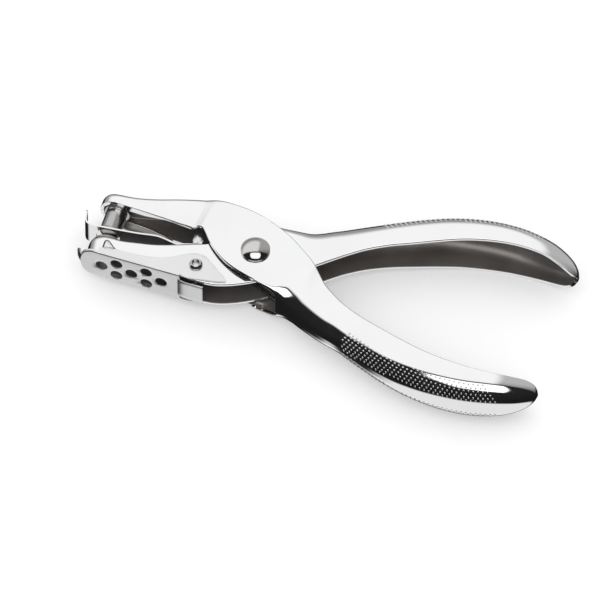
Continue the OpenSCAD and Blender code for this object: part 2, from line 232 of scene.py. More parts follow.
def noise(tree, coords, stretch, scale, detail=3.0):
    """Noise on object coordinates, stretched by a Mapping node."""
    mapping = tree.nodes.new("ShaderNodeMapping")
    mapping.inputs["Scale"].default_value = stretch
    tree.links.new(coords.outputs["Object"], mapping.inputs["Vector"])
    node = tree.nodes.new("ShaderNodeTexNoise")
    node.inputs["Scale"].default_value = scale
    node.inputs["Detail"].default_value = detail
    tree.links.new(mapping.outputs["Vector"], node.inputs["Vector"])
    return node


def spread(tree, value, low, high, out_low, out_high):
    """Maps a value from one range to another."""
    node = tree.nodes.new("ShaderNodeMapRange")
    for name, number in (("From Min", low), ("From Max", high), ("To Min", out_low), ("To Max", out_high)):
        node.inputs[name].default_value = number
    tree.links.new(value, node.inputs["Value"])
    return node.outputs["Result"]


def bumped(tree, height, strength, distance, under=None):
    """A bump over an earlier normal, if there is one."""
    node = tree.nodes.new("ShaderNodeBump")
    node.inputs["Strength"].default_value = strength
    node.inputs["Distance"].default_value = distance
    tree.links.new(height, node.inputs["Height"])
    if under is not None:
        tree.links.new(under, node.inputs["Normal"])
    return node.outputs["Normal"]


def steel(name, light, dark, rough, scratch, stretch=(1, 1, 1), wave=0.02, grain=0.06, metal=1.0):
    """Plated or bare steel: tint patches, scratches in the roughness, a faint press wave in the surface."""
    material = bpy.data.materials.new(name)
    tree, shader = nodes_of(material)
    coords = tree.nodes.new("ShaderNodeTexCoord")
    shader.inputs["Metallic"].default_value = metal
    patches = noise(tree, coords, (1, 1, 1), 60, 2)
    tint = tree.nodes.new("ShaderNodeValToRGB")
    tint.color_ramp.elements[0].position = 0.35
    tint.color_ramp.elements[0].color = (*dark, 1)
    tint.color_ramp.elements[1].position = 0.65
    tint.color_ramp.elements[1].color = (*light, 1)
    tree.links.new(patches.outputs["Fac"], tint.inputs["Fac"])
    tree.links.new(tint.outputs["Color"], shader.inputs["Base Color"])
    lines = noise(tree, coords, stretch, 900, 4)
    tree.links.new(spread(tree, lines.outputs["Fac"], 0.35, 0.75, rough, rough + scratch),
                   shader.inputs["Roughness"])
    press = noise(tree, coords, (1, 1, 1), 90, 1)
    fine = noise(tree, coords, stretch, 2600, 2)
    low = bumped(tree, press.outputs["Fac"], wave, 0.002)
    high = bumped(tree, fine.outputs["Fac"], grain, 0.00002, low)
    tree.links.new(high, shader.inputs["Normal"])
    return material


# %% [markdown]
# ### The finishes
# The outside of the levers is bright nickel. Their inside is plated too, but duller, rougher and a little
# brownish, and its colour is painted much darker as the shade inside the channels. The catcher is satin, the
# strip bright, and the hidden underside of the strip is painted near-black as its shade. The pin is ground,
# the rivets are plated and worn, and the spring is drawn wire.

# %% The finishes
NICKEL = steel("bright_nickel", (0.90, 0.90, 0.905), (0.87, 0.87, 0.875), 0.05, 0.06, (1, 6, 6))
# Inside of the levers: the dark base colour is painted shade for the channel's interior; the roughness is a
# duller finish.
SHADED_INSIDE = steel("inside_nickel_painted_shade", (0.36, 0.335, 0.32), (0.25, 0.23, 0.22), 0.30, 0.16, (1, 6, 6),
               grain=0.1, metal=0.7)
# Near-black painted shade, used where only shade is seen: under the strip and in the gap round the catcher's
# ears.
PAINTED_SHADE = steel("painted_shade", (0.10, 0.092, 0.088), (0.05, 0.046, 0.044), 0.34, 0.16, (1, 6, 6),
              grain=0.1, metal=0.8)
SATIN = steel("satin_nickel", (0.80, 0.80, 0.805), (0.76, 0.76, 0.765), 0.26, 0.12, (1, 14, 14), 0.01, 0.12)
STRIP = steel("bright_strip", (0.88, 0.88, 0.88), (0.82, 0.82, 0.82), 0.07, 0.08, (1, 12, 12), 0.01)
TURNED = steel("ground_steel", (0.50, 0.485, 0.48), (0.38, 0.37, 0.365), 0.13, 0.12, (8, 1, 8), 0.01, 0.10)
RIVET = steel("rivet_steel", (0.70, 0.69, 0.68), (0.58, 0.57, 0.56), 0.06, 0.08, (3, 3, 3), 0.02)
WIRE = steel("spring_wire", (0.34, 0.34, 0.35), (0.26, 0.26, 0.27), 0.22, 0.16, (4, 4, 1), 0.01, 0.10)
print("finishes:", [m.name for m in bpy.data.materials if m.users == 0][:8])


# %% [markdown]
# ### Dressing a piece
# A finished piece needs three things: its materials, the rigid body that it rides on, and the CAD nodes that
# it stands for put out of sight. One helper does all three, so that none is forgotten.

# %% Dress
def dress(obj, material, body, slot_name, *cad_nodes):
    """Gives a finished piece its material and its body, and hides the CAD nodes that it stands for."""
    slots = [polygon.material_index for polygon in obj.data.polygons]
    obj.data.materials.clear()
    for one in material if isinstance(material, list) else [material]:
        obj.data.materials.append(one)
    obj.data.polygons.foreach_set("material_index", slots)
    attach(obj, body)
    if cad_nodes:
        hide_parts(*cad_nodes)
    print(f"{obj.name}: {len(obj.data.vertices)} points before its modifiers")
    return obj


# %% [markdown]
# ## The levers
# Each lever is one pressing: a channel with a web on one side, open on the other, and a closed, boat-shaped
# end. It could be cut from blocks, but a press bends sheet along smooth lines, so it is lofted here.
# A row of key sections runs along the lever. A section has a top point, a bottom point, a half width, and
# a shoulder at the top and at the bottom. A web is left out where the real pressing is open.

# %% The lofted channel
WEB, SHOULDER, WALL = 4, 8, 8


def half_section(row):
    """Half a section, from the middle of the bottom web up the near wall to the middle of the top web."""
    tx, ty, bx, by, half, r_top, w_top, r_low, w_low = row[:9]
    top, low = np.array([tx, ty]), np.array([bx, by])
    height = np.linalg.norm(top - low)
    up = (top - low) / height
    half = max(half, 0.02)
    r_low, r_top = max(r_low, 0.0), max(r_top, 0.0)
    w_low, w_top = min(max(w_low, 0.0), half), min(max(w_top, 0.0), half)
    if r_low + r_top > 0.98 * height:
        shrink = 0.98 * height / (r_low + r_top)
        r_low, r_top = r_low * shrink, r_top * shrink
    line = [((half - w_low) * i / WEB, 0.0) for i in range(WEB)]
    for i in range(SHOULDER):
        a = math.pi / 2 * i / SHOULDER
        line.append((half - w_low + w_low * math.sin(a), r_low * (1 - math.cos(a))))
    for i in range(WALL):
        line.append((half, r_low + (height - r_low - r_top) * i / WALL))
    for i in range(SHOULDER):
        a = math.pi / 2 * i / SHOULDER
        line.append((half - w_top * (1 - math.cos(a)), height - r_top * (1 - math.sin(a))))
    line += [((half - w_top) * (1 - i / WEB), height) for i in range(WEB + 1)]
    return [(*(low + up * d), z) for z, d in line]


def channel(name, rows, top_web, low_web, z_mid=MID_Z):
    """A lofted channel. top_web and low_web say, from a station's top and bottom x, where a web is."""
    n = 2 * (WEB + SHOULDER) + WALL
    verts, faces = [], []
    for row in rows:
        near = half_section(row)
        ring = near + [(x, y, -z) for x, y, z in reversed(near[1:-1])]
        verts += [(x, y, z + z_mid) for x, y, z in ring]
    around = 2 * n
    for i in range(len(rows) - 1):
        mid = (rows[i] + rows[i + 1]) / 2
        for j in range(around):
            k = j if j < n else around - 1 - j
            if k < WEB and not low_web(mid):
                continue
            if k >= n - WEB and not top_web(mid):
                continue
            a, b = i * around + j, i * around + (j + 1) % around
            faces.append((a, b, b + around, a + around))
    obj = new_object(name, verts, faces)
    return tidy_mesh(obj)


# %% [markdown]
# ### The handle
# Both levers end in the same grip, mirrored. Its section starts as a channel with tight shoulders at the
# neck and grows into a rounded, full-bellied one before the tip closes like a boat's bow.

# %% Handle sections (upper one: web x, y, edge x, y, half width, shoulder depth, shoulder width)
GRIP = [
    (18.4, 15.8, 18.6, 2.2, 5.0, 6.2, 4.4),
    (21.8, 17.4, 21.6, 4.7, 5.02, 6.3, 4.4),
    (25.5, 19.2, 24.9, 7.3, 5.15, 6.3, 4.5),
    (30.3, 21.4, 29.3, 10.2, 5.5, 6.2, 4.8),
    (36.5, 24.1, 35.2, 13.1, 5.9, 6.0, 5.1),
    (43, 26.8, 41.3, 15.4, 6.25, 5.9, 5.4),
    (50, 29, 47.8, 17.8, 6.75, 5.7, 5.7),
    (57, 30.3, 54.2, 19.9, 7.25, 5.6, 6.0),
    (63.5, 30.76, 60.6, 21.3, 7.6, 5.5, 6.1),
    (69.5, 30.6, 67, 22.1, 7.69, 5.5, 6.1),
    (75, 29.7, 72.6, 22.2, 7.5, 5.5, 6.0),
    (79.7, 28.4, 77.6, 21.8, 6.95, 5.2, 5.6),
    (83.3, 26.8, 81.6, 20.9, 5.85, 4.6, 4.9),
    (86, 25, 84.8, 20, 4.45, 3.6, 3.9),
    (87.7, 23.1, 87, 19.75, 2.8, 2.4, 2.6),
    (88.4, 21.3, 88.1, 20.2, 1.1, 0.8, 1.0),
    (88.48, 20.8, 88.43, 20.7, 0.05, 0.05, 0.05),
]

# %% [markdown]
# ### The die lever
# Lower jaw and upper handle in one piece. Its web is on the outside of the handle and, in the jaw, under
# the paper. Between the two the web is cut away, so only the walls pass between the other lever's cheeks.

# %% Die lever sections
def die_station(t, b, half, r=1.3, w=1.3):
    """One section of the die lever, given in the jaw's own frame and turned into place."""
    return (*turned(t), *turned(b), half, r, w, 0, 0)


def nose_drop(back, length=3.4):
    """How far a round nose has dropped, 0 to 1, at a distance back from its tip."""
    return 1 - math.sqrt(1 - (1 - min(back / length, 1)) ** 2)


JAW = -47.3
NOSE = [(0.0, 0.05, 0.3), (0.07, 1.0, 0.6), (0.4, 2.2, 1.1), (1.1, 3.35, 1.6), (2.2, 4.25, 2.0),
        (3.6, 4.8, 2.2)]
die_keys = []
for back, half, r in NOSE:
    x = JAW + back
    top = 0.95 - 3.0 * nose_drop(back)
    die_keys.append(die_station((x, top), (x, -5.14 - 0.187 * back), half, r, r))
die_keys += [
    die_station((-42.4, 0.95), (-42.4, -6.05), 5.0, 2.2, 2.2),
    die_station((-40.4, 0.5), (-40.4, -6.4), 5.0, 1.9, 1.9),
    die_station((-37.6, -0.25), (-37.6, -6.95), 5.0, 1.5, 1.5),
    die_station((-33, -0.4), (-33, -7.8), 5.0),
    die_station((-28.5, -0.3), (-28.6, -8.62), 5.0),
    die_station((-23.4, 0.4), (-24, -9.48), 5.0),
    die_station((-19, 1.22), (-20.3, -10.2), 5.0),
    die_station((-16.2, 1.75), (-18, -10.9), 5.0),
    die_station((-13.8, 2.3), (-14.6, -11.65), 5.0, 1.3, 1.3),
    die_station((-11.9, 3.5), (-11.2, -12.05), 5.0, 0.7, 0.7),
    die_station((-10.2, 4.9), (-8.6, -12.0), 5.0, 0, 0),
    die_station((-6, 8), (-5, -11.35), 5.0, 0, 0),
    die_station((-1.5, 9.9), (-1, -10.15), 5.0, 0, 0),
    die_station((2.2, 10.6), (2.6, -8.7), 5.0, 0.4, 0.4),
    die_station((6.0, 10.95), (6.3, -7.0), 5.0, 2.4, 2.0),
    (9.8, 12.5, 10.6, -3.6, 5.0, 4.0, 3.2, 0, 0),
    (13, 13.2, 13.7, -1.35, 5.0, 5.2, 4.0, 0, 0),
    (15.8, 14.45, 16.3, 0.4, 5.0, 6.0, 4.3, 0, 0),
] + [(*row, 0, 0) for row in GRIP]
die_rows = smooth_rows(die_keys, 6)
die_lever = channel(
    "die_lever_pressing", die_rows,
    lambda s: not -12.6 < s[0] < 4.0,
    lambda s: False)
print("die lever sections:", len(die_rows))

# %% [markdown]
# ### The punch lever
# Upper jaw, two cheeks and lower handle. The jaw's web is on top and the handle's web underneath, so the
# near wall runs unbroken from nose to tip. It steps outwards to clear the other lever, and narrows again
# at the neck, where the lower edge curls under into the handle's web.

# %% Punch lever sections
punch_keys = []
for back, half, r in NOSE:
    x = JAW + back
    top = 9.95 - 2.3 * nose_drop(back)
    punch_keys.append((x, top, x, 6.2 - 0.05 * back, half, r * 0.9, r, 0, 0))
punch_keys += [
    (-42.4, 9.8, -42.4, 5.95, 5.0, 1.9, 1.9, 0, 0),
    (-37.5, 9.85, -37.5, 5.62, 5.0, 1.5, 1.4, 0, 0),
    (-32, 11.0, -32, 5.1, 5.0, 1.5, 1.4, 0, 0),
    (-26.2, 12.7, -26.4, 4.55, 5.0, 1.5, 1.4, 0, 0),
    (-21.3, 13.95, -22, 4.0, 5.0, 1.5, 1.4, 0, 0),
    (-18.9, 14.3, -19.7, 3.65, 5.15, 1.4, 1.3, 0, 0),
    (-17.2, 14.45, -18.3, 4.3, 5.6, 1.3, 1.2, 0, 0),
    (-15.4, 14.45, -16.9, 4.0, 6.15, 1.1, 1.0, 0, 0),
    (-13.4, 14.35, -15.4, 2.2, 6.55, 0.9, 0.8, 0, 0),
    (-10.8, 14.05, -13.1, -0.85, 6.78, 0.7, 0.7, 0, 0),
    (-8, 13.7, -10.4, -3.5, 6.8, 0.6, 0.6, 0, 0),
    (-5, 13.15, -7.3, -5.9, 6.8, 0.5, 0.5, 0, 0),
    (-2, 12.3, -4, -7.6, 6.8, 0.42, 0.42, 0, 0),
    (1.2, 11.05, -0.8, -8.8, 6.8, 0, 0, 0, 0),
    (4.6, 9.5, 2.4, -9.85, 6.8, 0, 0, 0, 0),
    (8.2, 7.5, 5.6, -10.9, 6.8, 0, 0, 0.9, 0.8),
    (10.9, 5.6, 8.5, -11.8, 6.8, 0, 0, 2.0, 1.6),
    (12.6, 4.2, 10.4, -12.6, 6.8, 0, 0, 4.4, 3.4),
    (14.5, 2.8, 12.4, -13.6, 6.78, 0, 0, 6.8, 4.9),
    (16.9, 0.75, 15.1, -15.0, 6.6, 0, 0, 7.7, 5.4),
    (19.3, -2.0, 18.4, -16.7, 6.2, 0, 0, 7.4, 5.1),
    (21.9, -4.95, 21.9, -18.3, 5.85, 0, 0, 7.0, 4.8),
    (25.1, -7.45, 25.6, -19.8, 5.6, 0, 0, 6.6, 4.7),
] + [(ex, -ey, wx, -wy, half, 0, 0, r, w) for wx, wy, ex, ey, half, r, w in GRIP[3:]]
punch_rows = smooth_rows(punch_keys, 6)
punch_lever = channel(
    "punch_lever_pressing", punch_rows,
    lambda s: s[0] < -2.2,
    lambda s: s[2] > 9.2)
print("punch lever sections:", len(punch_rows))

# %% [markdown]
# ### Walls of the levers
# Both skins now get their 1 mm wall and their rounded edges. The faces of the wall's inside take the second
# material, whose dark colour is painted shade, so that the bright plating and the shaded inside meet at the
# cut edge.

# %% Walls and rounded edges
for lever in (die_lever, punch_lever):
    for finish in (NICKEL, SHADED_INSIDE, NICKEL):
        lever.data.materials.append(finish)
    sheet_metal(lever)
    baked(lever)
    print(lever.name, "faces:", len(lever.data.polygons))

# %% [markdown]
# ### The seat of the die bush
# The jaw is bored for the hardened bush. A boolean with a round tool is the quickest way to a clean bore.
# The manifold solver is used, because the tight inner corners of the wall cross themselves a little.

# %% Bore for the bush
SEAT_R, SEAT_DEPTH = 3.62, 5
shell = bmesh.new()
shell.from_mesh(die_lever.data)
if shell.calc_volume(signed=True) < 0:
    die_lever.data.flip_normals()
print("die lever metal:", round(abs(shell.calc_volume()) * 1e9), "mm3")
shell.free()
drill = bmesh.new()
bmesh.ops.create_cone(drill, cap_ends=True, segments=64, radius1=SEAT_R * MM, radius2=SEAT_R * MM,
                      depth=SEAT_DEPTH * MM)
bmesh.ops.recalc_face_normals(drill, faces=drill.faces)
upright = Matrix.Rotation(DIE_TILT, 4, "Z") @ Matrix.Rotation(math.radians(90), 4, "X")
drill.transform(Matrix.Translation(Vector((*turned((-REACH, 0)), MID_Z)) * MM) @ upright)
bit = new_object("bush_seat", [], [])
drill.to_mesh(bit.data)
drill.free()
before = len(die_lever.data.polygons)
cut_away(die_lever, bit, "MANIFOLD")
print("bush seat cut:", before, "->", len(die_lever.data.polygons), "faces")
dress(die_lever, [NICKEL, SHADED_INSIDE], "die_side", "nickel_steel", "die_lever")
dress(punch_lever, [NICKEL, SHADED_INSIDE], "punch_side", "nickel_steel", "punch_lever")


# %% [markdown]
# ### Margins of the upper jaw
# The jaw's cut edges are turned in like narrow lips beside the pin, so that they are stiff and don't cut
# the hand. The rear wall hangs a little lower than the front one and closes the view through the throat.
# Each margin is a strip along the jaw's lower line, given a thickness and a small rounding.

# %% Lips and rear margin
def margin(number, rows, thickness, finish):
    """A margin from rows of three points each."""
    verts = [point for row in rows for point in row]
    faces = []
    for i in range(len(rows) - 1):
        for j in (0, 1):
            a = 3 * i + j
            faces.append((a, a + 1, a + 4, a + 3))
    piece = tidy_mesh(new_object(f"upper_jaw_margin_{number}", verts, faces))
    widened(piece, thickness)
    softened(piece, 0.14)
    baked(piece)
    dress(piece, finish, "punch_side", "nickel_steel")


LIP, HANG, BACK_END = 1.7, 1.9, -25.5
jaw_line = [row for row in punch_rows if JAW + 0.7 < row[2] < BACK_END]
for number, side in enumerate((-1, 1)):
    lip_rows = []
    for row in jaw_line:
        share = min(1.0, (row[2] + 47.2) / 1.8, (-25.2 - row[2]) / 9)
        outer = row[4] - 0.35
        inner = row[4] - 0.6 - LIP * max(share, 0.0)
        places = (outer, (outer + inner) / 2, inner)
        lip_rows.append([(row[2], row[3] + 0.32, MID_Z + side * z) for z in places])
    margin(number, lip_rows, 0.62, NICKEL)
hang_rows = []
for row in (row for row in punch_rows if -42.2 < row[2] < BACK_END):
    along = min(1.0, max(0.0, (row[2] + 42.6) / 17.4))
    drop = HANG * math.sin(math.pi * along) ** 0.6
    z = MID_Z - row[4] + 0.5
    hang_rows.append([(row[2], y, z) for y in (row[3] + 0.9, row[3] - 0.5 * drop, row[3] - drop)])
# The rear margin takes the inside material: its dark colour is painted shade in the throat.
margin(2, hang_rows, 0.9, SHADED_INSIDE)


# %% [markdown]
# ## Turned parts
# The pin, its collar, the die bush, the eyelets and the pivot rivet are round. Each is spun from half its
# outline, like work on a lathe, with the small chamfers and rolled rims that catch the light.

# %% A small lathe
def lathe(name, outline, centre, axis, steps=64):
    """Spins an outline of (radius, height) points, in millimetres, about an axis through a centre."""
    axis = Vector(axis).normalized()
    turn = Vector((0, 0, 1)).rotation_difference(axis)
    verts, faces = [], []
    count = len(outline)
    for s in range(steps):
        a = 2 * math.pi * s / steps
        for r, h in outline:
            p = turn @ Vector((max(r, 0.0) * math.cos(a), max(r, 0.0) * math.sin(a), h))
            verts.append((p.x + centre[0], p.y + centre[1], p.z + centre[2]))
    for s in range(steps):
        n = (s + 1) % steps
        for i in range(count - 1):
            faces.append((s * count + i, n * count + i, n * count + i + 1, s * count + i + 1))
    return tidy_mesh(new_object(name, verts, faces))


def rounded(points, r=0.12, steps=3):
    """An outline with its corners rounded by small arcs."""
    out = [points[0]]
    for i in range(1, len(points) - 1):
        p, q, n = (np.array(points[k], float) for k in (i - 1, i, i + 1))
        a, b = p - q, n - q
        reach = min(r, 0.45 * np.linalg.norm(a), 0.45 * np.linalg.norm(b))
        a, b = q + a / np.linalg.norm(a) * reach, q + b / np.linalg.norm(b) * reach
        for s in range(steps + 1):
            t = s / steps
            out.append(tuple((1 - t) ** 2 * a + 2 * t * (1 - t) * q + t * t * b))
    out.append(points[-1])
    return out


# %% [markdown]
# ### The pivot rivet
# One rivet holds both levers. Its front head is a low dome, its rear head was hammered flat. The dome's
# outline is a 62 degree arc, stretched to the head's radius and height.

# %% Pivot rivet
HEAD_R, HEAD_HEIGHT, ARC = 4.15, 1.9, math.radians(62)
dome = [(0, 9.25)]
for i in range(1, 13):
    a = ARC * i / 12
    dome.append((HEAD_R * math.sin(a) / math.sin(ARC),
                 7.35 + HEAD_HEIGHT * (math.cos(a) - math.cos(ARC)) / (1 - math.cos(ARC))))
dome += [(4.15, 7.1), (4.0, 6.86), (2.0, 6.86)]
rivet = lathe("pivot_rivet_turned", dome[:-3] + rounded(dome[-4:], 0.12)[1:]
              + [(2.0, 6.0), (2.0, -6.0)]
              + rounded([(2.0, -6.84), (4.05, -6.84), (4.15, -7.66), (0.0, -7.69)], 0.15),
              (0, 0, MID_Z), (0, 0, 1), 96)
dress(rivet, RIVET, "die_side", "rivet_steel", "pivot_rivet")

# %% [markdown]
# ### The eyelets
# The catcher swings on two hollow eyelets. Each has a rolled rim outside and is clinched inside the wall.
# One outline is spun twice, once towards each side.

# %% Catcher eyelets
funnel = [(0.6, 3.6), (0.6, 5.35), (1.18, 6.62), (1.42, 6.62), (1.9, 5.95), (1.9, 5.8)]
clinch = [(1.9, 5.75), (1.85, 5.57), (1.5, 5.55), (1.5, 3.97), (1.88, 3.95), (1.9, 3.62), (1.7, 3.56),
          (0.6, 3.56)]
eyelet_outline = [(0.6, 3.56)] + rounded(funnel, 0.25, 4) + clinch
for name, side in (("front_eyelet", 1), ("rear_eyelet", -1)):
    eyelet = lathe(name, eyelet_outline, (*HINGE, MID_Z), (0, 0, side), 48)
    dress(eyelet, RIVET, "die_side", "rivet_steel", "catcher_eyelets")

# %% [markdown]
# ### Bush, pin and collar
# The pin shears the paper against the bush. The bush stands a little above the jaw, and the collar takes
# the pin's push. The pin has a groove near the collar and a hollow-ground tip, and its tenon is peened over.

# %% Die bush, punch pin and collar
die_centre = (*turned((-REACH, 0)), MID_Z)
die_axis = (*turned((0, 1)), 0)
bush_rim = [(3.1, 1.1), (3.22, 1.4), (3.75, 1.4), (4.0, 1.1), (4.0, -0.38), (3.6, -0.38), (3.6, -2.0),
            (3.1, -2.0)]
bush = lathe("die_bush_turned", [(3.1, -2.0)] + rounded(bush_rim, 0.1), die_centre, die_axis, 72)
# The bush takes the inside material, whose dark colour is painted shade.
dress(bush, SHADED_INSIDE, "die_side", "hard_steel", "die_bush")
pin = lathe("punch_pin_turned", [(0, -0.35), (1.2, -0.4)] + rounded(
    [(2.0, -0.6), (2.96, -0.9), (3.0, -0.75), (3.0, 5.3), (2.85, 5.45), (2.85, 5.6), (3.0, 5.83), (2.0, 5.83),
     (2.0, 9.45), (1.7, 9.6), (0, 9.6)], 0.08), (-REACH, 0, MID_Z), (0, 1, 0), 72)
dress(pin, TURNED, "punch_side", "hard_steel", "punch_pin")
collar_ring = [(2.05, 6.9), (2.05, 7.95), (3.7, 7.95), (3.9, 7.75), (3.9, 6.1), (3.65, 5.85), (2.05, 5.85),
               (2.05, 6.9)]
collar = lathe("punch_collar_turned", rounded(collar_ring, 0.12), (-REACH, 0, MID_Z), (0, 1, 0), 72)
dress(collar, TURNED, "punch_side", "hard_steel", "punch_collar")


# %% [markdown]
# ## The stripper plate
# A strip of spring steel keeps the paper from riding up with the pin. It has an upturned lip in front,
# slopes gently down over the die, steps down to the jaw and ends in a curl. It could be a box with bends,
# but a ribbon along one line keeps its bends smooth. First comes a helper that lays any ribbon.

# %% Ribbon
def ribbon(name, line, halves, z_mid=MID_Z, across=6):
    """A flat ribbon across the tool along a side-view line, with its own half width at each point."""
    verts, faces = [], []
    for (x, y), half in zip(line, halves):
        for j in range(across + 1):
            verts.append((x, y, z_mid + half * (2 * j / across - 1)))
    for i in range(len(line) - 1):
        for j in range(across):
            a = i * (across + 1) + j
            faces.append((a, a + 1, a + across + 2, a + across + 1))
    return tidy_mesh(new_object(name, verts, faces))


print("ribbons have their line at z =", MID_Z, "mm")

# %% [markdown]
# ### The strip
# The line's points say where the strip bends, and its half width narrows at the lip and at the rear. The
# curl is an arc of about three quarters of a turn. A boolean cuts the hole for the pin.

# %% The strip's line, bent from the lip to the curl
CURL, CURL_R = (-16.8, 3.2), 1.2
strip_keys = [
    (-49.3, 9.35, 2.9), (-49.28, 9.2, 3.4), (-49.25, 8.9, 3.75), (-49.2, 8.3, 3.96), (-49.1, 6.6, 4.0),
    (-49.0, 5.7, 4), (-48.5, 4.7, 4), (-47.3, 4.1, 4), (-45.8, 3.9, 4), (-40, 3.4, 4), (-34, 3.0, 4),
    (-30, 2.95, 4), (-28, 2.78, 4), (-26, 2.2, 4), (-24, 1.45, 3.95), (-22.2, 1.03, 3.8), (-20, 1.38, 3.7),
    (-18.2, 1.7, 3.6)]
strip_rows = list(map(tuple, smooth_rows(strip_keys, 4)))
for i in range(1, 15):
    a = math.radians(-79 + 21 * i)
    strip_rows.append((CURL[0] + CURL_R * math.cos(a), CURL[1] + CURL_R * math.sin(a), 3.6))
strip = ribbon("stripper_strip", [turned(p[:2]) for p in strip_rows], [p[2] for p in strip_rows])
widened(strip, 0.5, even=True)
cut_away(strip, lathe("pin_hole_cutter", [(0, -3), (3.4, -3), (3.4, 8), (0, 8)], die_centre, die_axis, 72))
softened(strip, 0.09)
baked(strip)
print("strip faces:", len(strip.data.polygons))

# %% [markdown]
# ### The closed curl
# Two small cheeks close the ends of the curl. The strip's underside, which hangs over the die, takes a
# near-black painted shade. The material is picked from each face's direction and its place along the strip.

# %% Curl cheeks and finish
curl_cheeks = []
cheek_outline = [(-18.1, 2.0), (-15.5, 2.0), (-15.45, 4.9), (-15.9, 5.35), (-17.7, 5.35), (-18.15, 4.9)]
for side in (-1, 1):
    verts = [(*turned(corner), MID_Z + side * 3.62) for corner in cheek_outline]
    cheek = new_object("curl_cheek", verts, [tuple(range(len(verts)))])
    widened(cheek, 0.5)
    edges = cheek.modifiers.new("edges", "BEVEL")
    edges.width, edges.segments, edges.harden_normals = 0.12 * MM, 2, True
    curl_cheeks.append(baked(cheek))
joined_to(strip, curl_cheeks)
for polygon in strip.data.polygons:
    polygon.use_smooth = True
    down = polygon.normal.dot(Vector((*turned((0, -1)), 0)))
    along = turned((polygon.center.x / MM, polygon.center.y / MM), -DIE_TILT)[0]
    # Faces that look down over the die get the near-black painted shade.
    under = down > 0.7 and -44.9 < along < -19
    polygon.material_index = 1 if under else 2 if along > -18.3 else 0
dress(strip, [STRIP, PAINTED_SHADE, SATIN], "die_side", "strip_steel", "stripper_plate")

# %% [markdown]
# ## The chip catcher
# A thin tray that snaps over the lower jaw. Its floor has seven peep holes in a honeycomb, its two flanges
# wrap the jaw's walls and hang on the eyelets, and a thumb tab sticks out in front. The tray is a lofted
# channel too, with a flat floor in front and two flanges that run on to the hinge behind.

# %% Tray
FLOOR_SLOPE = math.radians(10.6)
FLOOR_END, TRAY_HALF = -19.9, 5.5


def floor_y(x):
    """Height of the sloping floor at a place along the die side."""
    return -5.84 - (x - JAW) * math.tan(FLOOR_SLOPE)


def tray_row(x, top, low, half, r=0, w=0):
    """One section of the tray, with its shoulder beside the floor."""
    return (*turned((x, top)), *turned((x, low)), half, 0, 0, r, w)


nose_half = smooth_rows([(-48.9, 0.05), (-48.5, 2.7), (-47.5, 4.5), (-45.7, 5.5)], 4)
flange_top = [(-43.75, None), (-43.6, -4.7), (-42.9, -4.5), (-42.2, -4.4), (-41.3, -4.35), (-40.3, -4.4),
              (-39.2, -4.5), (-38.2, -4.65), (-36.5, -5.0), (-34, -5.4), (-31, -5.65),
              (-28, -5.68), (-25, -5.4), (-22.5, -4.65), (-20.3, -3.7), (-18.4, -2.95), (-16.6, -2.6),
              (-15, -2.7), (-13.5, -3.35), (-12, -4.8), (-10.5, -6.4), (-9, -7.95), (-7.8, -9.2),
              (-7.1, -9.95), (-6.8, -10.6)]
flange_top = [(x, None) for x, _ in nose_half] + flange_top
tray_half = {x: max(half, 0.05) for x, half in nose_half}
tray_rows = []
for x, top in flange_top:
    half = min(tray_half.get(x, TRAY_HALF), TRAY_HALF)
    if x < FLOOR_END:
        low = floor_y(x)
        top = low + 0.75 if top is None else top
        tray_rows.append(tray_row(x, top, low, half, min(0.55, 0.5 * (top - low)), 0.5))
    else:
        if tray_rows[-1][7] > 0:
            tray_rows.append(tray_row(FLOOR_END, -3.52, floor_y(FLOOR_END), TRAY_HALF, 0.55, 0.5))
            tray_rows.append(tray_row(-19.85, -3.5, floor_y(FLOOR_END) + 0.3, TRAY_HALF))
        tray_rows.append(tray_row(x, top, max(floor_y(x) + 0.1, -11.45 + 0.12 * max(0, x + 9)), half))
tray_rows = np.array(tray_rows)
wide_end_x = turned((FLOOR_END, floor_y(FLOOR_END)))[0]
tray = channel("chip_tray", tray_rows, lambda s: False, lambda s: s[2] < wide_end_x - 0.001)
widened(tray, 0.4, offset=-1)
print("tray sections:", len(tray_rows))

# %% [markdown]
# ### The peep holes
# Seven holes in a honeycomb show how full the catcher is. They could be cut one by one, but a pattern that
# repeats is what Geometry Nodes is for: one cylinder, set on seven points, cuts all the holes at once.

